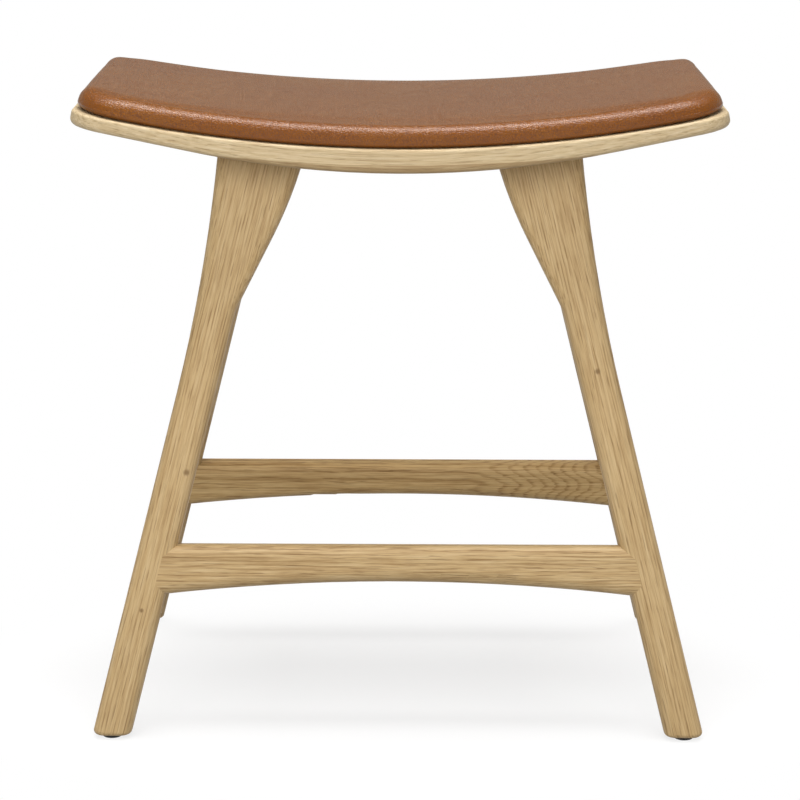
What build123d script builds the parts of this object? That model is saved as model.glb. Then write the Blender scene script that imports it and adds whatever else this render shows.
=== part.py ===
from build123d import *
import os
from math import asin, cos, degrees, radians, sin, sqrt, tan

# Driving dimensions, in millimetres

# Seat board: a plank dished along its length, with bulged long edges and square-cut ends
seat_turn = 11.5  # half the angle that the dish turns through
seat_depth = 292.0
seat_side_radius = 1400.0  # plan curve of the long edges
seat_corner = 26.0
seat_top_middle = 427.2  # height of the lowest line of the dish
seat_top_radius = 1160.0
seat_under_middle = 410.0
seat_under_radius = 780.0
seat_under_straight = 143.0  # from here out the underside runs straight
seat_top_edge = 2.0
seat_under_edge = 4.5

# Legs: boards that lean in both directions
foot_outer = 221.2  # half the width over the feet
foot_width = 27.8
foot_reach = 146.2  # from the middle to a foot's middle, front to back
fore_splay = 8.4
side_splay = 13.9
leg_thickness = 22.0
edge_round = 8.5  # the same on legs and stretchers, so that they mitre
bow_start = 250.0  # the outer edge bows in above this, along the leg
bow_radius = 1200.0
knee_height = 309.5
knee_round = 40.0
flare_angle = 26.8
flare_length = 57.8
throat_radius = 323.0
leg_reach = 450.0  # blank length, cut to the seat's underside
foot_edge = 3.0

# Stretchers
stretcher_top = 140.0  # along the leg
stretcher_middle = 26.4
stretcher_end = 36.0
stretcher_tenon_drop = 18.0
stretcher_tenon_height = 15.0
stretcher_tenon_length = 11.0
tenon_thickness = 9.0
mortise_spare = 0.5

# Bearers under the seat, between a front and a rear leg
bearer_middle = 101.0
bearer_width = 34.0
bearer_bottom = 396.0
bearer_edge = 5.0
bearer_tenon_bottom = 400.0
bearer_tenon_height = 9.0
bearer_tenon_width = 22.0
bearer_tenon_length = 12.0

# Dowels, screws, glides
dowel_radius = 4.0
dowel_spread = 20.0  # either side of the bearer's middle
dowel_in_leg = 16.0
dowel_in_seat = 8.0
bearer_screw_reach = 45.0
bearer_screw_length = 30.0
screw_shank = 2.0
screw_head = 4.0
screw_head_height = 3.0
screw_clearance = 2.3
screw_drive = 1.6
pad_screw_x = 150.0
pad_screw_y = 62.0
pad_screw_length = 15.0
pad_screw_sink = 3.5
glide_height = 2.5
glide_radius = 7.0
nail_radius = 0.9
nail_head_radius = 2.6
nail_head = 0.7
nail_recess = 0.6
nail_length = 14.0

# Pad: leather over foam on a bent board
pad_inset = 3.6
pad_corner = 27.0
pad_height = 15.3
pad_crown = 1.5
pad_top_round = 6.5
pad_low_round = 3.5
leather = 1.3
board_thickness = 5.0
board_margin = 2.5
turned_in = 24.0
staple_inset = 14.0  # from the pad's edge
staple_wire = 0.6
staple_width = 1.2
staple_crown = 8.0
staple_leg = 4.5
staple_sink = 0.1
staple_pitch = 60.0
staples_along = 7
staples_across = 4

# Values that follow from them
half_length = seat_top_radius * sin(radians(seat_turn))
half_depth = seat_depth / 2
dish_centre = seat_top_middle + seat_top_radius
under_centre = seat_under_middle + seat_under_radius
under_slope = seat_under_straight / sqrt(seat_under_radius**2 - seat_under_straight**2)
under_break = under_centre - sqrt(seat_under_radius**2 - seat_under_straight**2)
space_reach = half_length + 20
space_top = seat_top_middle + 80
foot_inner = foot_outer - foot_width
lean = tan(radians(side_splay))
fore_lean = tan(radians(fore_splay))
fore_sin = sin(radians(fore_splay))
fore_cos = cos(radians(fore_splay))
leg_plane = Plane((0, -foot_reach, 0), (1, 0, 0), (0, -fore_cos, fore_sin))


def under_height(x):
    """Height of the seat's underside at this distance from the middle."""
    if abs(x) > seat_under_straight:
        return under_break + under_slope * (abs(x) - seat_under_straight)
    return under_centre - sqrt(seat_under_radius**2 - x**2)


def top_height(x):
    """Height of the seat's top at this distance from the middle."""
    return dish_centre - sqrt(seat_top_radius**2 - x**2)


def leg_middle(z):
    """How far the front legs' middle plane stands in front of the centre."""
    return foot_reach - fore_lean * z


def inner_edge(v):
    """The straight inner edge of a leg, measured up along the leg."""
    return foot_inner - lean * v


def mitre(corner, first_normal, second_normal):
    """The point one edge round inside both edges that meet at a corner."""
    (ax, ay), (bx, by) = first_normal, second_normal
    scale = edge_round / (ax * by - ay * bx)
    return (corner[0] + scale * (by - ay), corner[1] + scale * (ax - bx))


def seat_sides(inset=0.0):
    """Plan strip between the seat's bulged long edges, drawn in by the inset."""
    x = space_reach
    y = half_depth - seat_side_radius + sqrt((seat_side_radius - inset) ** 2 - x**2)
    with BuildSketch() as strip:
        with BuildLine():
            ThreePointArc((-x, -y), (0, inset - half_depth), (x, -y))
            Line((x, -y), (x, y))
            ThreePointArc((x, y), (0, half_depth - inset), (-x, y))
            Line((-x, y), (-x, -y))
        make_face()
    return strip.sketch


# Everything above the seat's underside, used to scribe the legs and bearers
with BuildPart() as seat_space:
    with BuildSketch(Plane.XZ):
        with BuildLine():
            ThreePointArc(
                (-seat_under_straight, under_break),
                (0, seat_under_middle),
                (seat_under_straight, under_break),
            )
            Polyline(
                (seat_under_straight, under_break),
                (space_reach, under_height(space_reach)),
                (space_reach, space_top),
                (-space_reach, space_top),
                (-space_reach, under_height(space_reach)),
                (-seat_under_straight, under_break),
            )
        make_face()
    extrude(amount=half_depth + 20, both=True)

# Dowels between leg tops and seat, made first so that they cut their own holes
with BuildPart() as leg_dowels:
    for side in (-1, 1):
        for x in (bearer_middle - dowel_spread, bearer_middle + dowel_spread):
            joint = under_height(x)
            for end in (-1, 1):
                place = (side * x, end * leg_middle(joint), joint - dowel_in_leg)
                with BuildSketch(Plane(place)):
                    Circle(dowel_radius)
                extrude(amount=dowel_in_leg + dowel_in_seat)
leg_dowels.part.label = "leg_dowels"


def screw(length, countersunk):
    """A screw that points up, with the bottom of its head at the origin."""
    with BuildPart() as body:
        with BuildSketch(Plane.XZ):
            with BuildLine():
                if countersunk:
                    Polyline(
                        (0, 0),
                        (screw_head, 0),
                        (screw_shank, screw_head_height),
                        (screw_shank, length - screw_shank),
                        (0, length),
                        (0, 0),
                    )
                else:
                    Polyline(
                        (0, 0),
                        (screw_head, 0),
                        (screw_head, screw_shank),
                        (screw_shank, screw_shank),
                        (screw_shank, length - screw_shank),
                        (0, length),
                        (0, 0),
                    )
            make_face()
        revolve(axis=Axis.Z)
        with BuildSketch():
            RegularPolygon(screw_drive, 6)
        extrude(amount=screw_shank / 2 + 0.5, mode=Mode.SUBTRACT)
    return body.part


# Screws from the bearers into the seat, and from the seat into the pad's board
bearer_places = [
    (side * bearer_middle, end * bearer_screw_reach) for side in (-1, 1) for end in (-1, 1)
]
pad_screw_places = [(side * pad_screw_x, end * pad_screw_y) for side in (-1, 1) for end in (-1, 1)]
pad_screw_seat = under_height(pad_screw_x) + pad_screw_sink

bearer_screw = screw(bearer_screw_length, True)
pad_screw = screw(pad_screw_length, False)

with BuildPart() as bearer_screws:
    with Locations([(x, y, bearer_bottom) for x, y in bearer_places]):
        add(bearer_screw)
bearer_screws.part.label = "bearer_screws"

with BuildPart() as pad_screws:
    with Locations([(x, y, pad_screw_seat - screw_shank) for x, y in pad_screw_places]):
        add(pad_screw)
pad_screws.part.label = "pad_screws"


def is_upright(edge):
    """Whether an edge runs through a board's thickness."""
    return abs(edge.tangent_at(0.5).Z) > 0.9


def is_upper(edge):
    """Whether an edge of the seat runs above the middle of its thickness."""
    point = edge @ 0.5
    return point.Z > (top_height(point.X) + under_height(point.X)) / 2


# Seat board: dished plank with ends cut square to its top, then softened all round
turn_sin = sin(radians(seat_turn))
turn_cos = cos(radians(seat_turn))
end_reach = dish_centre - under_break + under_slope * seat_under_straight
end_reach = end_reach / (turn_cos + under_slope * turn_sin)
end_x = end_reach * turn_sin
seat_strip = seat_sides()
with BuildPart() as seat_board:
    with BuildSketch(Plane.XZ):
        with BuildLine():
            ThreePointArc(
                (-seat_under_straight, under_break),
                (0, seat_under_middle),
                (seat_under_straight, under_break),
            )
            Polyline(
                (seat_under_straight, under_break),
                (end_x, under_height(end_x)),
                (half_length, top_height(half_length)),
            )
            ThreePointArc(
                (half_length, top_height(half_length)),
                (0, seat_top_middle),
                (-half_length, top_height(half_length)),
            )
            Polyline(
                (-half_length, top_height(half_length)),
                (-end_x, under_height(end_x)),
                (-seat_under_straight, under_break),
            )
        make_face()
    extrude(amount=half_depth + 20, both=True)
    with BuildSketch(Plane.XY.offset(seat_under_middle - 20)):
        add(seat_strip)
    extrude(amount=100, mode=Mode.INTERSECT)
    fillet(seat_board.edges().filter_by(is_upright), seat_corner)
    rim_faces = seat_board.faces().filter_by(lambda f: abs(f.normal_at().Z) < 0.3)
    rim_edges = rim_faces.edges().filter_by(is_upright, reverse=True)
    fillet(rim_edges.filter_by(is_upper), seat_top_edge)
    rim_faces = seat_board.faces().filter_by(lambda f: abs(f.normal_at().Z) < 0.3)
    rim_edges = rim_faces.edges().filter_by(is_upright, reverse=True)
    fillet(rim_edges.filter_by(is_upper, reverse=True), seat_under_edge)
    add(leg_dowels.part, mode=Mode.SUBTRACT)
    add(bearer_screws.part, mode=Mode.SUBTRACT)
    with Locations([Location((x, y, seat_under_middle - 20), (0, 0, 0)) for x, y in pad_screw_places]):
        Cylinder(
            screw_head + 0.3,
            pad_screw_seat - seat_under_middle + 20,
            align=(Align.CENTER, Align.CENTER, Align.MIN),
            mode=Mode.SUBTRACT,
        )
        Cylinder(
            screw_clearance,
            80,
            align=(Align.CENTER, Align.CENTER, Align.MIN),
            mode=Mode.SUBTRACT,
        )
seat_board.part.label = "seat_board"


# Shoulder line where a stretcher meets a leg: mitred corners and a straight run between
stretcher_low = stretcher_top - stretcher_end
top_corner = (inner_edge(stretcher_top), stretcher_top)
low_corner = (inner_edge(stretcher_low), stretcher_low)
arch_rise = stretcher_end - stretcher_middle
arch_slope = 2 * arch_rise / low_corner[0]
arch_length = sqrt(1 + arch_slope**2)
leg_length = sqrt(1 + lean**2)
leg_normal = (1 / leg_length, lean / leg_length)
top_shoulder = mitre(top_corner, leg_normal, (0, -1))
low_shoulder = mitre(low_corner, leg_normal, (arch_slope / arch_length, 1 / arch_length))
tenon_middle = stretcher_top - stretcher_tenon_drop


def tenon_outline(length):
    """Slanted tenon outline beyond the shoulder, in the leg's plane."""
    corners = []
    for v, reach in ((-1, -2), (-1, length), (1, length), (1, -2)):
        height = tenon_middle + v * stretcher_tenon_height / 2
        shoulder = top_shoulder[0] + lean * (top_shoulder[1] - height)
        corners.append((shoulder + reach, height))
    return corners


# Front stretcher: straight top, arched underside, rounded edges, mitred shoulders, tenons
with BuildPart() as stretcher_front:
    with BuildSketch(leg_plane):
        with BuildLine():
            blank_end = low_corner[0] + 30
            blank_low = stretcher_top - stretcher_middle - arch_rise * (blank_end / low_corner[0]) ** 2
            ThreePointArc(
                (-blank_end, blank_low), (0, stretcher_top - stretcher_middle), (blank_end, blank_low)
            )
            Polyline(
                (blank_end, blank_low),
                (blank_end, stretcher_top),
                (-blank_end, stretcher_top),
                (-blank_end, blank_low),
            )
        make_face()
    extrude(amount=leg_thickness / 2, both=True)
    sides = stretcher_front.faces().filter_by(lambda f: abs(f.normal_at().dot(leg_plane.z_dir)) > 0.99)
    fillet(sides.edges().filter_by(lambda e: e.length > 2 * foot_inner), edge_round)
    with BuildSketch(leg_plane):
        Polygon(
            (-top_corner[0], top_corner[1]),
            top_corner,
            top_shoulder,
            low_shoulder,
            low_corner,
            (-low_corner[0], low_corner[1]),
            (-low_shoulder[0], low_shoulder[1]),
            (-top_shoulder[0], top_shoulder[1]),
            align=None,
        )
    extrude(amount=leg_thickness, both=True, mode=Mode.INTERSECT)
    with BuildSketch(leg_plane):
        Polygon(*tenon_outline(stretcher_tenon_length), align=None)
        mirror(about=Plane.YZ)
    extrude(amount=tenon_thickness / 2, both=True)
stretcher_front.part.label = "stretcher_front"

with BuildPart() as stretcher_rear:
    mirror(stretcher_front.part, about=Plane.XZ)
stretcher_rear.part.label = "stretcher_rear"

# Right bearer: a rail scribed to the seat, its ends cut to the lean of the legs
half_back = leg_thickness / 2 / fore_cos


def bearer_end(z, reach=0.0):
    """Where the back of a leg stands at this height, and a reach beyond it."""
    return leg_middle(z) - half_back + reach


tenon_low = bearer_tenon_bottom
tenon_high = bearer_tenon_bottom + bearer_tenon_height
with BuildPart() as bearer_right:
    with BuildSketch(Plane.YZ.offset(bearer_middle)):
        Polygon(
            (bearer_end(bearer_bottom), bearer_bottom),
            (bearer_end(seat_top_middle), seat_top_middle),
            (-bearer_end(seat_top_middle), seat_top_middle),
            (-bearer_end(bearer_bottom), bearer_bottom),
            align=None,
        )
    extrude(amount=bearer_width / 2, both=True)
    low_edges = bearer_right.edges().filter_by(Axis.Y).group_by(Axis.Z)[0]
    fillet(low_edges, bearer_edge)
    with BuildSketch(Plane.YZ.offset(bearer_middle)):
        Polygon(
            (bearer_end(tenon_low, bearer_tenon_length), tenon_low),
            (bearer_end(tenon_high, bearer_tenon_length), tenon_high),
            (-bearer_end(tenon_high, bearer_tenon_length), tenon_high),
            (-bearer_end(tenon_low, bearer_tenon_length), tenon_low),
            align=None,
        )
    extrude(amount=bearer_tenon_width / 2, both=True)
    add(seat_space.part, mode=Mode.SUBTRACT)
    with Locations([(x, y, bearer_bottom) for x, y in bearer_places if x > 0]):
        Cylinder(screw_clearance, 40, align=(Align.CENTER, Align.CENTER, Align.MIN), mode=Mode.SUBTRACT)
        Cone(
            screw_head,
            screw_shank,
            screw_head_height,
            align=(Align.CENTER, Align.CENTER, Align.MIN),
            mode=Mode.SUBTRACT,
        )
bearer_right.part.label = "bearer_right"

with BuildPart() as bearer_left:
    mirror(bearer_right.part, about=Plane.YZ)
bearer_left.part.label = "bearer_left"

# Glides with their nails, made before the legs, which take the nails
foot_middle = (foot_outer + foot_inner) / 2 - lean * glide_height / fore_cos
foot_places = [
    (side * foot_middle, end * leg_middle(glide_height)) for end in (-1, 1) for side in (-1, 1)
]

with BuildPart() as nail:
    with BuildSketch(Plane.XZ):
        Polygon(
            (0, nail_recess),
            (nail_head_radius, nail_recess),
            (nail_head_radius, nail_recess + nail_head),
            (nail_radius, nail_recess + nail_head),
            (nail_radius, nail_length - 2 * nail_radius),
            (0, nail_length),
            align=None,
        )
    revolve(axis=Axis.Z)

with BuildPart() as glide_nails:
    with Locations([(x, y, 0) for x, y in foot_places]):
        add(nail.part)
glide_nails.part.label = "glide_nails"

glides = []
for name, place in zip(("front_left", "front_right", "rear_left", "rear_right"), foot_places):
    with BuildPart(Plane((place[0], place[1], 0))) as glide:
        Cylinder(glide_radius, glide_height, align=(Align.CENTER, Align.CENTER, Align.MIN))
        fillet(glide.faces().sort_by(Axis.Z)[0].edges(), glide_height / 2)
        Cylinder(
            nail_head_radius,
            nail_recess + nail_head,
            align=(Align.CENTER, Align.CENTER, Align.MIN),
            mode=Mode.SUBTRACT,
        )
        Hole(nail_radius)
    glide.part.label = "glide_" + name
    glides.append(glide.part)

# Right front leg: bone-shaped board, scribed to the seat, with its mortises
flare_end = (
    inner_edge(knee_height) - flare_length * sin(radians(flare_angle)),
    knee_height + flare_length * cos(radians(flare_angle)),
)
bow_turn = degrees((leg_reach - bow_start) / bow_radius)
throat_turn = degrees((leg_reach - flare_end[1]) / throat_radius)
with BuildPart() as leg_front_right:
    with BuildSketch(leg_plane) as leg_face:
        with BuildLine():
            outer = Line((foot_outer, 0), (foot_outer - lean * bow_start, bow_start))
            bow = JernArc(outer @ 1, outer % 1, bow_radius, -bow_turn)
            shank = Line((foot_inner, 0), (inner_edge(knee_height), knee_height))
            flare = Line(shank @ 1, flare_end)
            throat = JernArc(flare @ 1, flare % 1, throat_radius, -throat_turn)
            Line(bow @ 1, throat @ 1)
            Line((foot_outer, 0), (foot_inner, 0))
        make_face()
        fillet(leg_face.vertices().sort_by_distance(shank @ 1)[0], knee_round)
    extrude(amount=leg_thickness / 2, both=True)
    sides = leg_front_right.faces().filter_by(lambda f: abs(f.normal_at().dot(leg_plane.z_dir)) > 0.99)
    long_edges = sides.edges().filter_by(lambda e: abs(e.tangent_at(0.5).Z) > 0.5)
    fillet(long_edges, edge_round)
    split(bisect_by=Plane.XY.offset(glide_height), keep=Keep.TOP)
    fillet(leg_front_right.faces().sort_by(Axis.Z)[0].edges(), foot_edge)
    add(seat_space.part, mode=Mode.SUBTRACT)
    with BuildSketch(leg_plane):
        Polygon(top_corner, top_shoulder, low_shoulder, low_corner, align=None)
    extrude(amount=leg_thickness, both=True, mode=Mode.SUBTRACT)
    with BuildSketch(leg_plane):
        Polygon(*tenon_outline(stretcher_tenon_length + mortise_spare), align=None)
    extrude(amount=tenon_thickness / 2, both=True, mode=Mode.SUBTRACT)
    with BuildSketch(Plane.YZ.offset(bearer_middle)):
        Polygon(
            (-bearer_end(tenon_low, bearer_tenon_length + mortise_spare), tenon_low),
            (-bearer_end(tenon_high, bearer_tenon_length + mortise_spare), tenon_high),
            (-bearer_end(tenon_high, -5), tenon_high),
            (-bearer_end(tenon_low, -5), tenon_low),
            align=None,
        )
    extrude(amount=bearer_tenon_width / 2, both=True, mode=Mode.SUBTRACT)
    add(leg_dowels.part, mode=Mode.SUBTRACT)
    add(glide_nails.part, mode=Mode.SUBTRACT)
leg_front_right.part.label = "leg_front_right"

with BuildPart() as leg_front_left:
    mirror(leg_front_right.part, about=Plane.YZ)
leg_front_left.part.label = "leg_front_left"
with BuildPart() as leg_rear_right:
    mirror(leg_front_right.part, about=Plane.XZ)
leg_rear_right.part.label = "leg_rear_right"
with BuildPart() as leg_rear_left:
    mirror(leg_front_left.part, about=Plane.XZ)
leg_rear_left.part.label = "leg_rear_left"


def dish_point(angle, height):
    """A point at an angle round the dish, this far above the seat's top."""
    radius = seat_top_radius - height
    return (radius * sin(angle), dish_centre - radius * cos(angle))


def pad_layer(inset, base, top, crown=0.0, top_round=0.0, low_round=0.0):
    """A bent slab that follows the dish, with square-cut ends and a crowned top."""
    turn = radians(seat_turn) - inset / seat_top_radius
    far = turn + 0.05
    section = Plane((0, 0, dish_centre), (0, 1, 0), (cos(far), 0, sin(far)))
    strip = seat_sides(inset)
    with BuildPart() as layer:
        with BuildSketch(Plane.XZ):
            with BuildLine():
                lower = ThreePointArc(*(dish_point(angle, base) for angle in (-turn, 0, turn)))
                upper = ThreePointArc(*(dish_point(angle, top + crown) for angle in (turn, 0, -turn)))
                Line(lower @ 1, upper @ 0)
                Line(upper @ 1, lower @ 0)
            make_face()
        extrude(amount=half_depth + 20, both=True)
        with BuildSketch(Plane.XY.offset(seat_under_middle)):
            add(strip)
        extrude(amount=100, mode=Mode.INTERSECT)
        fillet(layer.edges().filter_by(is_upright), pad_corner + pad_inset - inset)
        if crown:
            side = half_depth - inset
            with BuildSketch(section):
                with BuildLine():
                    arch = ThreePointArc(
                        (-side, top - seat_top_radius),
                        (0, top + crown - seat_top_radius),
                        (side, top - seat_top_radius),
                    )
                    Polyline(arch @ 1, (side, 10 - seat_top_radius), (side, -20 - seat_top_radius))
                    Line((side, -20 - seat_top_radius), (-side, -20 - seat_top_radius))
                    Line((-side, -20 - seat_top_radius), arch @ 0)
                make_face()
            revolve(
                axis=Axis((0, 0, dish_centre), (0, 1, 0)),
                revolution_arc=2 * degrees(far),
                mode=Mode.INTERSECT,
            )
        if top_round:
            upper_face = layer.faces().filter_by(lambda f: f.normal_at().Z > 0.5).sort_by(SortBy.AREA)[-1]
            fillet(upper_face.edges(), top_round)
        if low_round:
            lower_face = layer.faces().filter_by(lambda f: f.normal_at().Z < -0.5).sort_by(SortBy.AREA)[-1]
            fillet(lower_face.edges(), low_round)
    return layer.part


board_blank = pad_layer(pad_inset + leather + board_margin, leather, leather + board_thickness)
pad_outside = pad_layer(pad_inset, 0, pad_height, pad_crown, pad_top_round, pad_low_round)
pad_opening = pad_layer(pad_inset + turned_in, 0, leather)
pad_inside = pad_layer(
    pad_inset + leather,
    leather,
    pad_height - leather,
    pad_crown,
    pad_top_round - leather,
    pad_low_round - leather,
)


def dish_place(x, y, turned):
    """A place on the seat's dished top, facing straight out of it."""
    slope = degrees(asin(x / seat_top_radius))
    radius = seat_top_radius - staple_sink
    height = dish_centre - radius * cos(radians(slope))
    return Location((radius * sin(radians(slope)), y, height), (0, -slope, turned))


# Staples that hold the turned-in leather to the board
staple_line = pad_inset + staple_inset
staple_places = []
for side in (-1, 1):
    for number in range(staples_along):
        x = (number - (staples_along - 1) / 2) * staple_pitch
        y = half_depth - seat_side_radius + sqrt((seat_side_radius - staple_line) ** 2 - x**2)
        staple_places.append(dish_place(x, side * y, 0))
    for number in range(staples_across):
        y = (number - (staples_across - 1) / 2) * staple_pitch
        staple_places.append(dish_place(side * (half_length - staple_line), y, 90))

half_crown = staple_crown / 2
with BuildPart() as staple:
    with BuildSketch(Plane.XZ):
        Polygon(
            (-half_crown, 0),
            (half_crown, 0),
            (half_crown, staple_leg),
            (half_crown - staple_wire, staple_leg),
            (half_crown - staple_wire, staple_wire),
            (staple_wire - half_crown, staple_wire),
            (staple_wire - half_crown, staple_leg),
            (-half_crown, staple_leg),
            align=None,
        )
    extrude(amount=staple_width / 2, both=True)

with BuildPart() as cover_staples:
    with Locations(*staple_places):
        add(staple.part)
cover_staples.part.label = "cover_staples"

with BuildPart() as pad_board:
    add(board_blank)
    add(pad_screws.part, mode=Mode.SUBTRACT)
    add(cover_staples.part, mode=Mode.SUBTRACT)
pad_board.part.label = "pad_board"

with BuildPart() as pad_foam:
    add(pad_inside)
    add(board_blank, mode=Mode.SUBTRACT)
pad_foam.part.label = "pad_foam"

with BuildPart() as pad_cover:
    add(pad_outside)
    add(pad_inside, mode=Mode.SUBTRACT)
    add(pad_opening, mode=Mode.SUBTRACT)
    add(cover_staples.part, mode=Mode.SUBTRACT)
pad_cover.part.label = "pad_cover"

pieces = [
    seat_board.part,
    leg_front_left.part,
    leg_front_right.part,
    leg_rear_left.part,
    leg_rear_right.part,
    stretcher_front.part,
    stretcher_rear.part,
    bearer_left.part,
    bearer_right.part,
    leg_dowels.part,
    bearer_screws.part,
    pad_board.part,
    pad_foam.part,
    pad_cover.part,
    pad_screws.part,
    cover_staples.part,
    glide_nails.part,
    *glides,
]
os.makedirs("parts", exist_ok=True)
for piece in pieces:
    export_step(piece, "parts/" + piece.label + ".step")
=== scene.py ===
import math

import bpy
import numpy as np
from mathutils import Matrix, Vector


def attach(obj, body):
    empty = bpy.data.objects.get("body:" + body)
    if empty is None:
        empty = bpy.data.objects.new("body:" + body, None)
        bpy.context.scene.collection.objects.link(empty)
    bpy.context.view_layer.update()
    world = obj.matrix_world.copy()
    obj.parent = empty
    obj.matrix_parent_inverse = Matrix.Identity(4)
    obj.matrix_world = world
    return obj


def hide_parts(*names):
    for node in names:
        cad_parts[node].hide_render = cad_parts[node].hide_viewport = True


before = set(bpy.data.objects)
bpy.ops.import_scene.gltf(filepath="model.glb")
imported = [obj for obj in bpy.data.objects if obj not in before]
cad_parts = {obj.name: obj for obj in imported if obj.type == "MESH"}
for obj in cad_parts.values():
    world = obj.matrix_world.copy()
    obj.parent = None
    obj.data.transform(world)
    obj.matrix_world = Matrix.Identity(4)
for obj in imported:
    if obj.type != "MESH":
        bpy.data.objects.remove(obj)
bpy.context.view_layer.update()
scene = bpy.context.scene
print("frame loaded:", len(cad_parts), "nodes")


def paint(red, green, blue):
    # screen colour, 0 to 255, to linear light: ((c + 0.055) / 1.055) to the power 2.4
    return tuple(((c / 255 + 0.055) / 1.055) ** 2.4 for c in (red, green, blue)) + (1.0,)


class Wire:
    # one socket; sums and products of wires add Math nodes
    def __init__(self, finish, socket):
        self.finish = finish
        self.socket = socket

    def math(self, operation, *values):
        return self.finish.node("Math", {"operation": operation}, dict(enumerate(values)))

    def __add__(self, other):
        return self.math("ADD", self, other)

    def __radd__(self, other):
        return self.math("ADD", other, self)

    def __sub__(self, other):
        return self.math("SUBTRACT", self, other)

    def __rsub__(self, other):
        return self.math("SUBTRACT", other, self)

    def __mul__(self, other):
        return self.math("MULTIPLY", self, other)

    def __rmul__(self, other):
        return self.math("MULTIPLY", other, self)

    def __truediv__(self, other):
        return self.math("DIVIDE", self, other)

    def __rtruediv__(self, other):
        return self.math("DIVIDE", other, self)

    def fraction(self):
        return self.math("FRACT", self)

    def most(self, other):
        return self.math("MAXIMUM", self, other)

    def step(self, low, high):
        # smooth step, 0 below low and 1 above high
        return self.finish.node(
            "MapRange",
            {"interpolation_type": "SMOOTHSTEP"},
            {"Value": self, "From Min": low, "From Max": high},
        )


class Finish:
    # the nodes of a material, or of the world, while they are added
    def __init__(self, owner):
        owner.use_nodes = True
        self.owner = owner
        self.tree = owner.node_tree
        self.tree.nodes.clear()

    def node(self, kind, settings=None, values=None, output=0):
        # settings come first, because they change which sockets there are
        made = self.tree.nodes.new("ShaderNode" + kind)
        for name, value in (settings or {}).items():
            if name == "stops":
                ramp = made.color_ramp.elements
                while len(ramp) < len(value):
                    ramp.new(0.5)
                for stop, (place, colour) in zip(ramp, value):
                    stop.position = place
                    stop.color = colour
            else:
                setattr(made, name, value)
        for name, value in (values or {}).items():
            if isinstance(value, Wire):
                self.tree.links.new(value.socket, made.inputs[name])
            else:
                made.inputs[name].default_value = value
        return None if output is None else Wire(self, made.outputs[output])

    def place(self):
        return self.node("TexCoord", output="Object")

    def part(self, wire, axis):
        return self.node("SeparateXYZ", None, {"Vector": wire}, output=axis)

    def length(self, wire):
        return self.node("VectorMath", {"operation": "LENGTH"}, {0: wire}, output="Value")

    def sum(self, first, second):
        return self.node("VectorMath", {"operation": "ADD"}, {0: first, 1: second})

    def mapped(self, wire, location=(0, 0, 0), rotation=(0, 0, 0), scale=(1, 1, 1)):
        return self.node(
            "Mapping",
            None,
            {"Vector": wire, "Location": location, "Rotation": rotation, "Scale": scale},
        )

    def noise(self, wire, scale, detail=2.0, roughness=0.5):
        return self.node(
            "TexNoise",
            None,
            {"Vector": wire, "Scale": scale, "Detail": detail, "Roughness": roughness},
        )

    def blend(self, factor, first, second):
        # the colour sockets of a Mix node are the seventh and eighth
        return self.node("Mix", {"data_type": "RGBA"}, {0: factor, 6: first, 7: second}, output=2)

    def bump(self, height, strength, distance):
        return self.node(
            "Bump", None, {"Height": height, "Strength": strength, "Distance": distance}
        )

    def either(self, factor, first, second):
        # the first shader where the factor is 0, and the second where it is 1
        return self.node("MixShader", None, {0: factor, 1: first, 2: second})

    def seen(self):
        # 1 where the camera looks
        return self.node("LightPath", output="Is Camera Ray")

    def mirrored(self):
        # 1 where gloss or glass looks
        gloss = self.node("LightPath", output="Is Glossy Ray")
        return gloss.most(self.node("LightPath", output="Is Transmission Ray"))

    def finished(self, shader, end="OutputMaterial"):
        self.node(end, None, {"Surface": shader}, output=None)
        return self.owner

    def surface(self, values):
        return self.finished(self.node("BsdfPrincipled", None, values))


def coat(node, material):
    # puts a finish on a node of the frame
    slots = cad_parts[node].data.materials
    slots.clear()
    slots.append(material)


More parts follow.
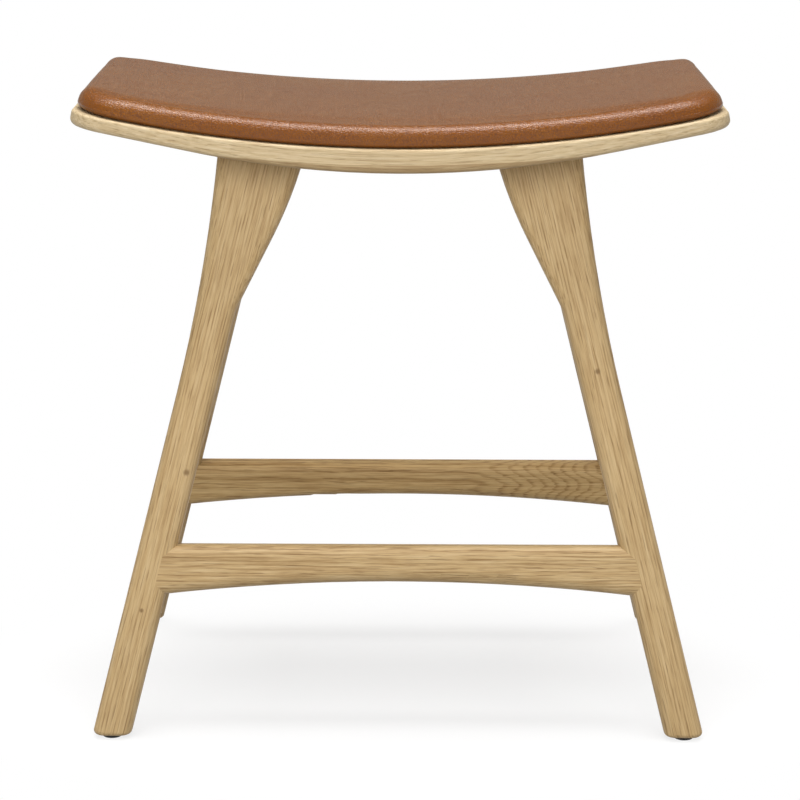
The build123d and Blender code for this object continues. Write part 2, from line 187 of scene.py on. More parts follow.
# Oak: grain runs along each piece, cut from a log whose pith lies beside it
oak = {
    "light": (208, 182, 138),
    "middle": (193, 163, 116),
    "dark": (160, 128, 84),
    "pore": (118, 88, 54),
    "stops": {"dark": 0.1, "middle": 0.5, "light": 0.9},  # the shade of each tone
    "shade": 0.56,  # of plain wood
    "roughness": 0.5,
    "specular": 0.32,
    "bump": (0.5, 0.0003),  # strength, and height in metres
    "apart": 0.731,  # metres along the log from one piece to the next
    "ring": 0.0024,  # width of a year's growth
    "opens": (0.0, 0.12),  # the part of a year in which its early wood begins
    "closes": (0.14, 0.55),  # and the part in which late wood takes over
    # noises drawn out along the grain: repeats to a metre along and across, detail, roughness
    "drift": (2.5, 16, 2.0, 0.5),
    "ripple": (16, 90, 2.0, 0.5),
    "years": (0.5, 60, 1.0, 0.5),
    "streak": (7, 420, 3.0, 0.6),
    "fibre": (30, 900, 3.0, 0.7),
    "cloud": (5, 30, 2.0, 0.5),
    "pores": (60, 1300, 1.0, 0.5),
    "flecks": (45, 520, 1.0, 0.5),
    "edge": (4, 200, 2.0, 0.5),
    # how many times the wander drift and ripple move the rings, and the years their phase
    "drifting": 2,
    "rippling": 0.4,
    "phase": 500,
    "climbing": 0.003,  # metres that a streak moves rings that climb
    # how much each lightens the shade
    "streakShade": 0.9,
    "fibreShade": 1.7,
    "cloudShade": 0.4,
    # where pores and flecks begin in their noise, and how strongly they show
    "poreStep": (0.54, 0.64),
    "poreShow": 0.6,
    "poresLate": 0.3,  # how strongly in late wood, against 1 in early wood
    "fleckStep": (0.6, 0.72),
    "fleckShow": 0.18,
    # the painted shade band's uneven edge, and how softly it starts and ends, in metres
    "edgeWander": 0.002,
    "edgeSoft": (0.001, 0.004),
    # a knot's edge, in its own sizes, and how strongly it shows
    "knotEdge": (0.3, 1.3),
    "knotShow": 0.75,
    # what each adds to the bump's height and to the roughness
    "fibreHeight": 0.6,
    "poreDepth": 0.8,
    "earlyDepth": 0.2,
    "poreRoughness": 0.2,
    "cloudRoughness": 0.12,
}


def oakFinish(
    name,
    along,
    middle,
    pith,
    seed,
    tone=(1, 1, 1),
    contrast=1.0,
    wander=0.006,
    ringed=0.2,
    climb=None,
    bend=0.0,
    shadeBand=None,
    knots=(),
):
    # along is the grain's direction, middle a point of the piece, and pith where the
    # middle of the log lies from there, across and deep
    finish = Finish(bpy.data.materials.new(name))
    grain = Vector(along).normalized()
    deep = Vector((0, 1, 0) if abs(grain.y) < 0.9 else (0, 0, 1))
    deep = (deep - grain * deep.dot(grain)).normalized()
    turned = Matrix((grain, deep.cross(grain), deep))
    shift = -(turned @ Vector(middle))
    place = finish.mapped(finish.place(), tuple(shift), tuple(turned.to_euler()))
    if bend:
        # grain that curves with the piece: it moves across by bend times along squared
        run = finish.part(place, "X")
        place = finish.sum(place, finish.node("CombineXYZ", None, {"Y": run * run * bend}))
    # the log's own place: metres along, across and deep, from the pith
    log = finish.mapped(place, location=(seed * oak["apart"], -pith[0], -pith[1]))

    def streaks(key):
        # noise drawn out along the grain
        lengthwise, crosswise, detail, roughness = oak[key]
        drawn = finish.mapped(log, scale=(lengthwise, crosswise, crosswise))
        return finish.noise(drawn, 1.0, detail, roughness)

    streak, fibre, cloud = streaks("streak"), streaks("fibre"), streaks("cloud")
    reach = finish.length(finish.mapped(log, scale=(0, 1, 1)))
    reach = reach + (streaks("drift") - 0.5) * wander * oak["drifting"]
    reach = reach + (streaks("ripple") - 0.5) * wander * oak["rippling"]
    if climb:
        # rings that climb along the piece, so that they cross its face in nested arches,
        # each broken up by the streaks
        start, end, height = climb
        reach = reach + finish.part(place, "X").step(start, end) * height
        reach = reach + (streak - 0.5) * oak["climbing"]
    ring = reach / oak["ring"] + (streaks("years") - 0.5) * wander * oak["phase"]
    ring = ring.fraction()
    # early wood is open and dark, late wood close and light
    early = ring.step(*oak["opens"]) * (1 - ring.step(*oak["closes"]))
    late = oak["poresLate"]
    pores = streaks("pores").step(*oak["poreStep"]) * (late + (1 - late) * early)
    flecks = streaks("flecks").step(*oak["fleckStep"])
    shade = (streak - 0.5) * oak["streakShade"] + (fibre - 0.5) * oak["fibreShade"]
    shade = shade + (cloud - 0.5) * oak["cloudShade"] - early * ringed
    shade = oak["shade"] + shade * contrast
    if shadeBand:
        # painted shade: a dark band that darkens the lower part of the seat board's edge: where
        # it starts and ends across the grain, and how dark
        start, end, depth = shadeBand
        starting, ending = oak["edgeSoft"]
        across = finish.part(place, "Y") + (streaks("edge") - 0.5) * oak["edgeWander"]
        band = across.step(start, start + starting) - across.step(end, end + ending)
        shade = shade - band * depth
    tones = {
        key: paint(*(part * share for part, share in zip(oak[key], tone)))
        for key in ("light", "middle", "dark", "pore")
    }
    stops = [(stop, tones[key]) for key, stop in oak["stops"].items()]
    wood = finish.node("ValToRGB", {"stops": stops}, {"Fac": shade})
    wood = finish.blend(pores * (oak["poreShow"] * contrast), wood, tones["pore"])
    wood = finish.blend(flecks * (oak["fleckShow"] * contrast), wood, tones["dark"])
    for spot, size in knots:
        away = finish.node(
            "VectorMath", {"operation": "DISTANCE"}, {0: finish.place(), 1: spot}, output="Value"
        )
        away = away + (fibre - 0.5) * size
        inside = 1 - away.step(*(size * part for part in oak["knotEdge"]))
        wood = finish.blend(inside * oak["knotShow"], wood, tones["pore"])
    height = (fibre - 0.5) * oak["fibreHeight"] - pores * oak["poreDepth"]
    height = height - early * oak["earlyDepth"]
    roughness = oak["roughness"] + pores * oak["poreRoughness"]
    return finish.surface(
        {
            "Base Color": wood,
            "Roughness": roughness + (cloud - 0.5) * oak["cloudRoughness"],
            "Specular IOR Level": oak["specular"],
            "Normal": finish.bump(height, *oak["bump"]),
        }
    )


# each leg: the side and the end that it stands at, its pith, and its seed
legs = {
    "leg_front_left": ((-1, -1), (0.16, 0.03), 1),
    "leg_front_right": ((1, -1), (-0.2, 0.02), 2),
    "leg_rear_left": ((-1, 1), (0.15, -0.06), 3),
    "leg_rear_right": ((1, 1), (-0.15, -0.03), 4),
}
# pin knots: where, and how wide
pins = {
    "leg_front_left": [((-0.152, -0.1286, 0.192), 0.0026), ((-0.1844, -0.1435, 0.0935), 0.0016)],
    "leg_front_right": [((0.1414, -0.1182, 0.2649), 0.0022)],
}
# the legs' lean in degrees and a point on each leg, sideways, to front or rear, and up
leaning = {"side": 13.9, "fore": 8.4, "middle": (0.165, 0.115, 0.2), "contrast": 0.85}
side, fore = (math.tan(math.radians(leaning[way])) for way in ("side", "fore"))
for node, ((x, y), pith, seed) in legs.items():
    alongside, forward, up = leaning["middle"]
    wood = oakFinish(
        node + "_oak",
        (-x * side, -y * fore, 1),
        (x * alongside, y * forward, up),
        pith,
        seed,
        contrast=leaning["contrast"],
        knots=pins.get(node, ()),
    )
    coat(node, wood)

# the other pieces that are cut from the log
cuts = {
    "stretcher_front": {
        "name": "stretcher_front_oak",
        "along": (1, 0, 0),
        "middle": (0, -0.126, 0.125),
        "pith": (0.15, 0.02),
        "seed": 6,
    },
    "stretcher_rear": {
        "name": "stretcher_rear_oak",
        "along": (1, 0, 0),
        "middle": (0, 0.126, 0.125),
        "pith": (0.002, 0.008),
        "seed": 7,
        # painted shade: a slightly darker tone for the stretcher's place back under the seat
        "tone": (0.99, 0.97, 0.92),
        "wander": 0.0015,
        "ringed": 0.28,
        "climb": (0.05, 0.21, 0.028),
    },
    "seat_board": {
        "name": "seat_board_oak",
        "along": (1, 0, 0),
        "middle": (0, 0, 0.43),
        "pith": (0.16, 0.05),
        "seed": 8,
        # painted light: a paler tone that stands in for the light and sheen on the board's edge
        "tone": (1.03, 1.08, 1.18),
        "contrast": 0.6,
        "bend": 0.36,
        # painted shade: a dark band over the lower part of the board's edge
        "shadeBand": (0.0132, 0.024, 0.4),
    },
    "bearer_left": {
        "name": "bearer_left_wood",
        "along": (0, 1, 0),
        "middle": (-0.1, 0, 0.4),
        "pith": (0.05, 0.02),
        "seed": 9,
    },
    "bearer_right": {
        "name": "bearer_right_wood",
        "along": (0, 1, 0),
        "middle": (0.1, 0, 0.4),
        "pith": (0.02, 0.05),
        "seed": 10,
    },
    "leg_dowels": {
        "name": "dowel_beech",
        "along": (0, 0, 1),
        "middle": (0, 0, 0.4),
        "pith": (0.05, 0.02),
        "seed": 11,
    },
}
for node, cut in cuts.items():
    coat(node, oakFinish(**cut))
print("oak done")

# plain finishes: grain is how much darker the mottle goes, scale its repeats to a metre
plain = {
    "zinc_steel": {
        "colour": (178, 178, 176),
        "roughness": 0.38,
        "metallic": 1.0,
        "grain": 0.2,
        "scale": 900,
        "specular": 0.4,
    },
    "glide_black": {
        "colour": (34, 33, 32),
        "roughness": 0.55,
        "metallic": 0.0,
        "grain": 0.35,
        "scale": 700,
        "specular": 0.4,
    },
    "pale_foam": {
        "colour": (226, 214, 180),
        "roughness": 0.9,
        "metallic": 0.0,
        "grain": 0.15,
        "scale": 1200,
        "specular": 0.2,
    },
}


def plainFinish(name):
    # a fine mottle over one colour, for fittings and foam that are mostly hidden
    look = plain[name]
    finish = Finish(bpy.data.materials.new(name))
    mottle = finish.noise(finish.place(), look["scale"], 3.0, 0.6)
    colour = paint(*look["colour"])
    darker = tuple(part * (1 - look["grain"]) for part in colour[:3]) + (1.0,)
    return finish.surface(
        {
            "Base Color": finish.blend(mottle, darker, colour),
            "Roughness": look["roughness"] + (mottle - 0.5) * 0.2,
            "Metallic": look["metallic"],
            "Specular IOR Level": look["specular"],
            "Normal": finish.bump(mottle, 0.2, 0.0001),
        }
    )


# the seat's curve: its radius, and how high its axis lies over the floor
dish = {"radius": 1.16, "centre": 1.5872}
plies = {
    "light": (208, 178, 134),
    "dark": (186, 150, 106),
    "streak": (168, 132, 90),
    "thickness": 0.001,
    "joint": (0.45, 0.55),  # where a dark ply turns light, in the thickness of two
    "grain": (8, 500, 500),  # repeats to a metre along, across and through the board
    "streaked": 0.5,
    "roughness": 0.6,
    "specular": 0.3,
    "bump": (0.2, 0.0002),
}


def plywoodFinish():
    # thin plies, light and dark by turns through the board's thickness
    finish = Finish(bpy.data.materials.new("bent_plywood"))
    place = finish.place()
    # distance from the dish's axis tells the ply
    height = finish.part(place, "Z") - dish["centre"]
    dished = finish.node("CombineXYZ", None, {"X": finish.part(place, "X"), "Z": height})
    ply = (finish.length(dished) / plies["thickness"] * 0.5).fraction().step(*plies["joint"])
    streak = finish.noise(finish.mapped(place, scale=plies["grain"]), 1.0, 3.0)
    tone = finish.blend(ply, paint(*plies["dark"]), paint(*plies["light"]))
    tone = finish.blend(streak * plies["streaked"], tone, paint(*plies["streak"]))
    return finish.surface(
        {
            "Base Color": tone,
            "Roughness": plies["roughness"] + (streak - 0.5) * 0.2,
            "Specular IOR Level": plies["specular"],
            "Normal": finish.bump(streak, *plies["bump"]),
        }
    )


coat("pad_board", plywoodFinish())
steel = plainFinish("zinc_steel")
for node in ("bearer_screws", "pad_screws", "cover_staples", "glide_nails"):
    coat(node, steel)
glideBlack = plainFinish("glide_black")
for node in ("glide_front_left", "glide_front_right", "glide_rear_left", "glide_rear_right"):
    coat(node, glideBlack)
print("fittings done")

# the pad's shape, in metres
pad = {
    "halfTurn": math.radians(11.5),
    "halfDepth": 0.146,  # of the seat
    "sideRadius": 1.4,
    "inset": 0.0014,
    "pull": 0.0008,  # how far the ends draw in between the corners
    "corner": 0.036,
    "soften": 0.5,  # how much wider the upper round is at the corners
    "height": 0.0153,
    "crown": 0.0015,  # the rise from the long edges to the middle
    "belly": 0.0008,  # the rise from the ends to the middle
    "droop": 0.0052,  # how far the very corners sink
    "topRound": 0.009,
    "lowRound": 0.005,
    "tuck": 0.008,  # how far under the lower round goes
    "lift": 0.0004,  # how far the lower edge stands off the wood at the ends
    "liftReach": 0.02,  # how far in from the edge it does so
    "flat": 0.018,  # how far in from the edge the rings end and the top's grid begins
    "skin": 0.0013,
    "gap": 0.0001,  # between the foam and what it touches
    "turnedIn": 0.027,  # how far in the flap's line starts; its first point is 3 mm on
    "board": 0.005,
    "boardMargin": 0.0025,
    "along": 80,  # faces along the pad and across it
    "across": 48,
    "sampled": 400,  # points on each stretch of the outline, before they are spaced evenly
    # points up each stretch of the leather's profile and of the foam's
    "leatherRows": {"flap": 5, "lower": 6, "upper": 7},
    "foamRows": {"lower": 4, "upper": 6},
    "sideCrown": (0.33, 0.67),  # how much of the crown two points up the side have
    # how much of the corners' softness the points over the top have
    "leatherSoft": (0.7, 0.4, 0.15),
    "foamSoft": (0.5, 0.2),
}


def dishPlace(along, across, up):
    # a place by its way round the dish, its way across and its height over the wood
    angle = along / dish["radius"]
    radius = dish["radius"] - up
    return np.stack(
        [radius * np.sin(angle), across + 0 * angle, dish["centre"] - radius * np.cos(angle)], -1
    )


def quads(index):
    # the four corners of each square of a grid of point numbers
    corners = [index[:-1, :-1], index[1:, :-1], index[1:, 1:], index[:-1, 1:]]
    return np.stack(corners, -1).reshape(-1, 4)


def formed(name, points, faces):
    mesh = bpy.data.meshes.new(name)
    mesh.from_pydata(points.tolist(), [], faces.tolist())
    mesh.update()
    piece = bpy.data.objects.new(name, mesh)
    scene.collection.objects.link(piece)
    return piece


def padOutline():
    # The pad's edge, anticlockwise from the middle of the corner at front right: round
    # corners, straight ends and long sides that are arcs. Each point has its way round the
    # dish, its way across, and the direction that it faces.
    reach = dish["radius"] * math.sin(pad["halfTurn"] - pad["inset"] / dish["radius"])
    centre = pad["halfDepth"] - pad["sideRadius"]
    bulge = pad["sideRadius"] - pad["inset"]
    corner = pad["corner"]
    cornerX = reach - corner
    cornerY = centre + math.sqrt((bulge - corner) ** 2 - cornerX**2)
    slope = math.atan2(cornerY - centre, cornerX)
    count = pad["sampled"]
    sweep = np.linspace(0, 1, count, endpoint=False)

    def arc(middleX, middleY, radius, first, last):
        facing = first + (last - first) * sweep
        x = middleX + radius * np.cos(facing)
        return np.stack([x, middleY + radius * np.sin(facing), facing], -1)

    rightEnd = np.stack([reach + 0 * sweep, cornerY * (2 * sweep - 1), 0 * sweep], -1)
    half = np.concatenate(
        [
            arc(cornerX, -cornerY, corner, -slope / 2, 0),
            rightEnd,
            arc(cornerX, cornerY, corner, 0, slope),
            arc(0, centre, bulge, slope, math.pi - slope),
            arc(-cornerX, cornerY, corner, math.pi - slope, math.pi - slope / 2),
        ]
    )
    # the other half is this one turned half round
    opposite = np.array([-1, -1, 1])
    halfTurn = np.array([0, 0, math.pi])
    half = np.concatenate([half, half[:1] * opposite + halfTurn])
    walked = np.linalg.norm(np.diff(half[:, :2], axis=0), axis=1)
    walked = np.concatenate([[0], np.cumsum(walked)])
    turn = walked[2 * count + count // 2]  # the middle of the rear corner
    stops = np.concatenate(
        [
            np.linspace(0, turn, pad["across"], endpoint=False),
            np.linspace(turn, walked[-1], pad["along"], endpoint=False),
        ]
    )
    half = np.stack([np.interp(stops, walked, half[:, part]) for part in range(3)], -1)
    whole = np.concatenate([half, half * opposite + halfTurn])
    whole[:, 0] = dish["radius"] * np.arcsin(whole[:, 0] / dish["radius"])
    return whole


def padForm(name, profile, closedBelow=False):
    # Rings round the pad's edge, one for each step of the profile, and a grid over the
    # last ring: each grid point blends the four sides of the ring, less the corners.
    edge = padOutline()
    total = len(edge)
    profile = np.array(profile)
    # each step: how far inward, how high, its share of the crown and of the corner's softness
    corner = pad["soften"] * np.sin(2 * edge[:, 2]) ** 2
    scale = 1 + profile[:, 3, None] * corner
    inward = profile[:, 0, None] * scale
    ends = np.cos(edge[:, 2]) ** 2 * (1 - (edge[:, 1] / np.abs(edge[:, 1]).max()) ** 2)
    inward = inward + pad["pull"] * ends
    along = edge[:, 0] - inward * np.cos(edge[:, 2])
    across = edge[:, 1] - inward * np.sin(edge[:, 2])
    top = profile[:, 1].max()
    halfLength, halfDepth = np.abs(edge[:, 0]).max(), np.abs(edge[:, 1]).max()

    def crown(x, y):
        # crown times 1 - y, plus belly times 1 - x, less droop times the fourth power of
        # x times y, where x and y are squares of the shares of the half length and depth
        x, y = (x / halfLength) ** 2, (y / halfDepth) ** 2
        return pad["crown"] * (1 - y) + pad["belly"] * (1 - x) - pad["droop"] * (x * y) ** 4

    low = (1 - profile[:, 1, None] / top).clip(0, 1) * (profile[:, 0, None] < pad["liftReach"])
    rise = profile[:, 1, None] + pad["lift"] * low * (along / halfLength) ** 4
    up = rise + profile[:, 2, None] * crown(along, across)
    points = dishPlace(along, across, up).reshape(-1, 3)

    longFaces, crossFaces = pad["along"], pad["across"]
    u = np.linspace(0, 1, longFaces + 1)[:, None, None]
    v = np.linspace(0, 1, crossFaces + 1)[None, :, None]
    # where each side of the pad stands in a ring
    order = {
        "front": (2 * crossFaces + longFaces + np.arange(longFaces + 1)) % total,
        "right": np.arange(crossFaces + 1),
        "rear": crossFaces + longFaces - np.arange(longFaces + 1),
        "left": 2 * crossFaces + longFaces - np.arange(crossFaces + 1),
    }

    def cover(ring):
        # the inner points of the grid over a ring
        flat = np.stack([along[ring], across[ring]], -1)
        front, rear = flat[order["front"]][:, None], flat[order["rear"]][:, None]
        left, right = flat[order["left"]][None], flat[order["right"]][None]
        grid = (1 - v) * front + v * rear + (1 - u) * left + u * right
        grid = grid - (1 - u) * (1 - v) * front[0] - u * (1 - v) * front[-1]
        grid = grid - (1 - u) * v * rear[0] - u * v * rear[-1]
        inner = grid[1:-1, 1:-1].reshape(-1, 2)
        height = profile[ring, 1] + profile[ring, 2] * crown(inner[:, 0], inner[:, 1])
        return dishPlace(inner[:, 0], inner[:, 1], height)

    def numbers(ring, first):
        # the numbers of all the grid's points, of which the inner ones start at first
        index = np.zeros((longFaces + 1, crossFaces + 1), int)
        base = (ring % len(profile)) * total
        index[:, 0] = base + order["front"]
        index[:, -1] = base + order["rear"]
        index[0] = base + order["left"]
        index[-1] = base + order["right"]
        inner = np.arange((longFaces - 1) * (crossFaces - 1))
        index[1:-1, 1:-1] = first + inner.reshape(longFaces - 1, crossFaces - 1)
        return index

    walls = np.arange(len(profile) * total).reshape(len(profile), total)
    walls = np.concatenate([walls, walls[:, :1]], 1)
    faces = [quads(walls)[:, ::-1], quads(numbers(-1, len(points)))]
    points = np.concatenate([points, cover(-1)])
    if closedBelow:
        faces.append(quads(numbers(0, len(points)))[:, ::-1])
        points = np.concatenate([points, cover(0)])
    faces = np.concatenate(faces)
    piece = formed(name, points, faces)
    piece.data.polygons.foreach_set("use_smooth", np.ones(len(faces), bool))
    return piece


def lowerRound(depth, radius, count, low):
    # a quarter ellipse, from flat below to upright
    turn = np.linspace(0, math.pi / 2, count)
    return np.stack([depth * (1 - np.sin(turn)), low + radius * (1 - np.cos(turn))], -1)


def upperRound(radius, count, low):
    # a quarter round, from upright to flat above
    turn = np.linspace(0, math.pi / 2, count)
    return np.stack([radius * (1 - np.cos(turn)), low + radius * np.sin(turn)], -1)


def line(first, last, count):
    # points from first to last, without the two ends
    share = np.linspace(0, 1, count + 2)[1:-1, None]
    return np.array(first) * (1 - share) + np.array(last) * share


def leatherProfile():
    # turned-in flap, lower round, upright side, upper round, start of the top
    height, top, low = pad["height"], pad["topRound"], pad["lowRound"]
    rows, soft = pad["leatherRows"], pad["leatherSoft"]
    lower = lowerRound(pad["tuck"], low, rows["lower"], 0.0)
    upper = upperRound(top, rows["upper"], height - top)
    flap = line((pad["turnedIn"], 0), (pad["tuck"], 0), rows["flap"])
    wall = line((0, low), (0, height - top), len(pad["sideCrown"]))
    over = line((top, height), (pad["flat"], height), len(soft))
    steps = np.concatenate([flap, lower, wall, upper, over])
    below = np.zeros(len(flap) + len(lower))
    lifted = np.concatenate([below, pad["sideCrown"], np.ones(len(upper) + len(over))])
    soft = np.concatenate([below, np.zeros(len(wall)), np.ones(len(upper)), soft])
    held = len(flap) + len(lower) - 2  # rings that lie on the wood
    return np.column_stack([steps, lifted, soft]), held


# the leather's swelling under the foam's push, as cloth
swelling = {
    "frames": 20,
    "gravity": 0,
    "most": 0.0012,  # metres that a point moves
    "evenings": 50,
    "cloth": {
        "quality": 6,
        "mass": 0.3,
        "tension_stiffness": 40,
        "compression_stiffness": 40,
        "shear_stiffness": 20,
        "bending_stiffness": 2,
        "use_pressure": True,
        "uniform_pressure_force": 4,
        "vertex_group_mass": "held",
    },
}


def pointPlaces(mesh):
    places = np.zeros(len(mesh.vertices) * 3)
    mesh.vertices.foreach_get("co", places)
    return places.reshape(-1, 3)


def swell(piece, heldCount):
    # the cover swells a little, held where it is stapled below
    pinned = piece.vertex_groups.new(name="held")
    pinned.add(list(range(heldCount)), 1.0, "REPLACE")
    cloth = piece.modifiers.new("swell", "CLOTH")
    for name, value in swelling["cloth"].items():
        setattr(cloth.settings, name, value)
    cloth.settings.effector_weights.gravity = swelling["gravity"]
    cloth.collision_settings.use_collision = False
    start = pointPlaces(piece.data)
    for number in range(swelling["frames"]):
        scene.frame_set(number + 1)
    swollen = piece.evaluated_get(bpy.context.evaluated_depsgraph_get())
    moved = pointPlaces(swollen.data) - start
    piece.modifiers.remove(cloth)
    # averaging each move with its neighbours' keeps the broad swell and drops the puckers
    edges = np.zeros(len(piece.data.edges) * 2, int)
    piece.data.edges.foreach_get("vertices", edges)
    edges = edges.reshape(-1, 2)
    edges = np.concatenate([edges, edges[:, ::-1]])
    neighbours = np.bincount(edges[:, 0], minlength=len(moved))[:, None]
    for turn in range(swelling["evenings"]):
        near = np.zeros_like(moved)
        np.add.at(near, edges[:, 0], moved[edges[:, 1]])
        moved = (moved + near / neighbours) / 2
        moved[:heldCount] = 0
    far = np.linalg.norm(moved, axis=1, keepdims=True)
    print("leather swell, mm:", round(far.max() * 1000, 2), round(far.mean() * 1000, 2))
    # a soft cap: each move shrinks to cap times tanh of move over cap
    cap = swelling["most"]
    moved = moved * cap * np.tanh(far / cap) / np.maximum(far, 1e-9)
    piece.data.vertices.foreach_set("co", (start + moved).ravel())
    piece.data.update()
    scene.frame_set(1)


profile, held = leatherProfile()
padLeather = padForm("pad_leather", profile)
swell(padLeather, held * 2 * (pad["along"] + pad["across"]))
smooth = padLeather.modifiers.new("smooth", "SUBSURF")
smooth.levels = smooth.render_levels = 1
thick = padLeather.modifiers.new("thick", "SOLIDIFY")
thick.thickness = pad["skin"]
thick.offset = -1
print("pad leather done")


def foamProfile():
    # from the board's top edge down its side, out under it, round, up the side and over
    skin, gap, rows, soft = pad["skin"], pad["gap"], pad["foamRows"], pad["foamSoft"]
    height, top, low = pad["height"] - skin - gap, pad["topRound"] - skin, pad["lowRound"] - skin
    lower = lowerRound(pad["tuck"] - skin, low, rows["lower"], skin)[1:] + [skin + gap, gap]
    upper = upperRound(top, rows["upper"], height - top) + [skin + gap, 0]
    inner = skin + pad["boardMargin"] - gap
    board = [(inner, skin + pad["board"] + gap), (inner, skin + gap)]
    over = line((skin + top, height), (pad["flat"], height), len(soft))
    steps = np.concatenate([board, lower, upper, over])
    below = np.zeros(len(board) + len(lower))
    lifted = np.concatenate([below, np.ones(len(upper) + len(over))])
    soft = np.concatenate([below, np.ones(len(upper)), soft])
    return np.column_stack([steps, lifted, soft])


padFilling = padForm("pad_filling", foamProfile(), closedBelow=True)
print("pad foam done")

# pebbled cow hide
hide = {
    "light": (139, 83, 19),
    "dark": (131, 75, 16),
    "patch": (125, 67, 16),
    # painted shade: the colour of the creases between the pebbles
    "crease": (92, 48, 16),
    "roughness": 0.25,
    "specular": 0.42,
    "bump": (0.8, 0.00018),
    # repeats to a metre
    "pebbles": 680,
    "warp": 260,
    "fine": 2600,
    "clouds": 9,
    "patches": 60,
    "warped": 0.0016,  # metres that the warp moves a pebble
    "rounded": 0.35,
    "creaseWidth": 0.2,
    "cloudStep": (0.3, 0.7),
    "patchStep": (0.35, 0.75),
    "patchShow": 0.35,
    "creaseShade": 0.8,
    "pebbleHeight": 0.8,
    "creaseDepth": 0.5,
    "fineHeight": 0.25,
    "creaseRoughness": 0.15,
    "patchRoughness": 0.1,
}


def leatherFinish():
    # raised cells with creases between, the creases darkened with painted shade, over a slow
    # change of tone
    finish = Finish(bpy.data.materials.new("tan_leather"))
    place = finish.place()
    warp = finish.node(
        "TexNoise", None, {"Vector": place, "Scale": hide["warp"], "Detail": 2}, output=1
    )
    warp = finish.node("VectorMath", {"operation": "SCALE"}, {0: warp, "Scale": hide["warped"]})
    spread = {"Vector": finish.sum(place, warp), "Scale": hide["pebbles"]}
    cells = finish.node(
        "TexVoronoi", {"feature": "SMOOTH_F1"}, {**spread, "Smoothness": hide["rounded"]}
    )
    border = finish.node("TexVoronoi", {"feature": "DISTANCE_TO_EDGE"}, spread)
    crease = 1 - border.step(0.0, hide["creaseWidth"])
    fine = finish.noise(place, hide["fine"], 2.0, 0.6)
    cloud = finish.noise(place, hide["clouds"], 3.0, 0.6)
    patch = finish.noise(place, hide["patches"], 3.0, 0.6)
    clouded = cloud.step(*hide["cloudStep"])
    patched = patch.step(*hide["patchStep"]) * hide["patchShow"]
    tone = finish.blend(clouded, paint(*hide["dark"]), paint(*hide["light"]))
    tone = finish.blend(patched, tone, paint(*hide["patch"]))
    # painted shade: the creases are darkened in colour as well as sunk by the bump
    tone = finish.blend(crease * hide["creaseShade"], tone, paint(*hide["crease"]))
    height = (1 - cells) * hide["pebbleHeight"] - crease * hide["creaseDepth"]
    height = height + (fine - 0.5) * hide["fineHeight"]
    roughness = hide["roughness"] + crease * hide["creaseRoughness"]
    return finish.surface(
        {
            "Base Color": tone,
            "Roughness": roughness + (patch - 0.5) * hide["patchRoughness"],
            "Specular IOR Level": hide["specular"],
            "Normal": finish.bump(height, *hide["bump"]),
        }
    )


padLeather.data.materials.append(leatherFinish())
padFilling.data.materials.append(plainFinish("pale_foam"))
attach(padLeather, "root")
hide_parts("pad_cover")
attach(padFilling, "root")
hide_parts("pad_foam")
print("pad dressed")

# Studio: a white floor and soft lamps
studio = {
    "white": (1, 1, 1, 1),
    "floorSize": 30.0,
    "floorLines": 41,
    "floor": (0.55, 0.55, 0.55, 1.0),
    "bounce": (0.25, 0.25, 0.25, 1.0),
    "glowShare": 0.45,
    "glow": 1.5,
    # the oval round the stool that keeps its shadow: how it is moved and stretched, its edge
    "ovalShift": (0, 0.03, 0),
    "ovalScale": (0.85, 1.2, 1),
    "ovalEdge": (0.17, 0.32),
    # how bright the sides of the world are, and where the directions to them begin and end
    "sky": 0.46,
    "window": 0.55,
    "windowSide": (-0.5, 0.15),
    "room": 0.15,
    "backdrop": 0.6,
    "backdropSide": (-0.1, 0.3),
    "backdropFoot": (-0.1, 0.2),
    "backdropTop": (0.25, 0.5),
    "warm": (1.0, 0.96, 0.84, 1.0),  # what gloss sees
    "camera": (0.006, -2.2227, 0.716),
    "down": 12.654,
    "turn": 0.147,
    "tilt": 0.19,
    "lens": 135.72,
}
# lamps: sizes in metres, power in watts
lamps = {
    "overhead": {
        "place": (0, 0, 6),
        "target": (0, 0, 0.4),
        "size": (4.0, 3.4),
        "power": 295,
        "glossy": False,
    },
    "strip": {
        "place": (0, -0.14, 1.9),
        "target": (0, 0, 0.4),
        "size": (1.3, 0.5),
        "power": 36,
        "diffuse": False,
    },
    "front": {
        "place": (-0.1, -1.05, 0.71),
        "target": (0, 0, 0.34),
        "size": (1.4, 0.6),
        "power": 8.2,
        "glossy": False,
    },
}


def floorFinish():
    # seen by the camera, the floor is part glow, so that it is white but keeps the shadow;
    # far from the stool it is glow alone
    finish = Finish(bpy.data.materials.new("studio_floor"))
    diffuse = finish.node("BsdfDiffuse", None, {"Color": studio["floor"]})
    bounce = finish.node("BsdfDiffuse", None, {"Color": studio["bounce"]})
    near = finish.node("Emission", None, {"Color": studio["white"], "Strength": studio["glow"]})
    far = finish.node("Emission", None, {"Color": studio["white"], "Strength": 1.0})
    oval = finish.mapped(finish.place(), studio["ovalShift"], scale=studio["ovalScale"])
    away = finish.length(oval).step(*studio["ovalEdge"])
    shader = finish.either(away, finish.either(studio["glowShare"], diffuse, near), far)
    return finish.finished(finish.either(finish.seen().most(finish.mirrored()), bounce, shader))


def floorForm():
    # a flat grid
    half, count = studio["floorSize"] / 2, studio["floorLines"]
    side = np.linspace(-half, half, count)
    x, y = np.meshgrid(side, side, indexing="ij")
    points = np.stack([x, y, 0 * x], -1).reshape(-1, 3)
    floor = formed("studio_floor", points, quads(np.arange(len(points)).reshape(count, count)))
    floor.data.materials.append(floorFinish())


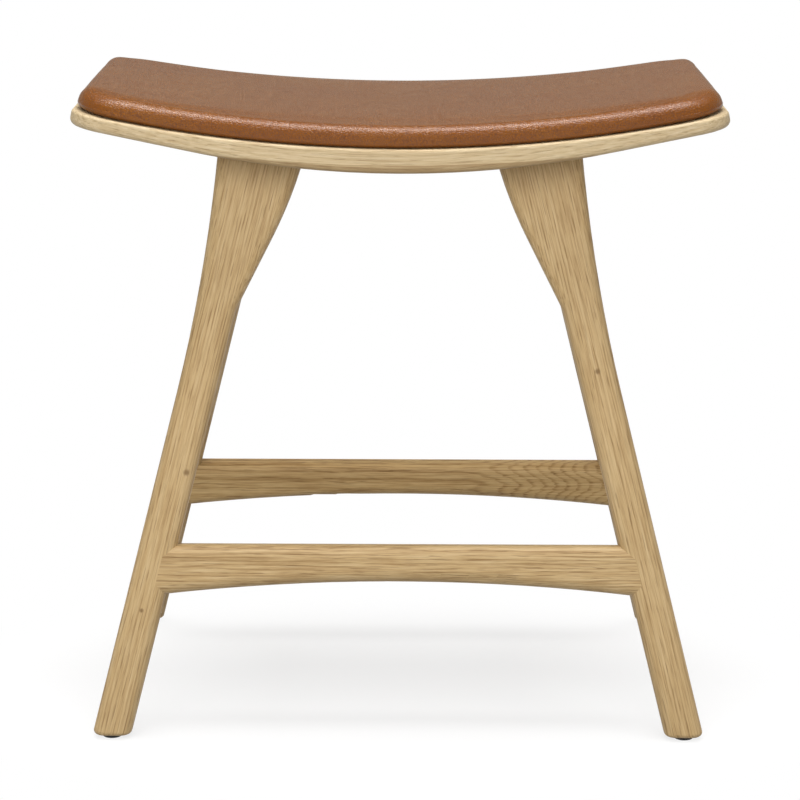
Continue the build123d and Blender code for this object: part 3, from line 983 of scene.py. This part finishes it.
def lamp(name, place, target, size, power, diffuse=True, glossy=True):
    light = bpy.data.lights.new(name, "AREA")
    light.shape = "RECTANGLE"
    light.size, light.size_y = size
    light.energy = power
    holder = bpy.data.objects.new(name, light)
    way = Vector(target) - Vector(place)
    holder.location = place
    holder.visible_diffuse = diffuse
    holder.visible_glossy = glossy
    holder.rotation_euler = way.to_track_quat("-Z", "Y").to_euler()
    scene.collection.objects.link(holder)


def studioSky():
    # the camera sees white everywhere; gloss and glass see the white backdrop where it
    # stands, behind the stool and low, and the dimmer room elsewhere; the rest is soft light
    world = bpy.data.worlds.new("studio_sky")
    scene.world = world
    sky = Finish(world)
    toward = sky.node("TexCoord", output="Generated")
    rear, upward = sky.part(toward, "Y"), sky.part(toward, "Z")
    low = upward.step(*studio["backdropFoot"]) - upward.step(*studio["backdropTop"])
    backdrop = rear.step(*studio["backdropSide"]) * low
    window = 1 - rear.step(*studio["windowSide"])
    glow = backdrop * (studio["backdrop"] - studio["room"]) + studio["room"]
    room = sky.node("Background", None, {"Color": studio["warm"], "Strength": glow})
    white = sky.node("Background", None, {"Color": studio["white"], "Strength": 1.0})
    light = window * (studio["window"] - studio["sky"]) + studio["sky"]
    soft = sky.node("Background", None, {"Color": studio["white"], "Strength": light})
    shader = sky.either(sky.mirrored(), soft, room)
    sky.finished(sky.either(sky.seen(), shader, white), "OutputWorld")


floorForm()
studioSky()
for name, settings in lamps.items():
    lamp(name, **settings)

# turn about the upright, look down from level, then tilt about the line of sight
lens = bpy.data.cameras.new("camera")
lens.lens = studio["lens"]
lens.sensor_width = 36.0
camera = bpy.data.objects.new("camera", lens)
aim = Matrix.Rotation(math.radians(studio["turn"]), 3, "Z")
aim = aim @ Matrix.Rotation(math.radians(90 - studio["down"]), 3, "X")
aim = aim @ Matrix.Rotation(math.radians(studio["tilt"]), 3, "Z")
camera.location = studio["camera"]
camera.rotation_euler = aim.to_euler()
scene.collection.objects.link(camera)
scene.camera = camera
scene.view_settings.view_transform = "Standard"
print("studio done")
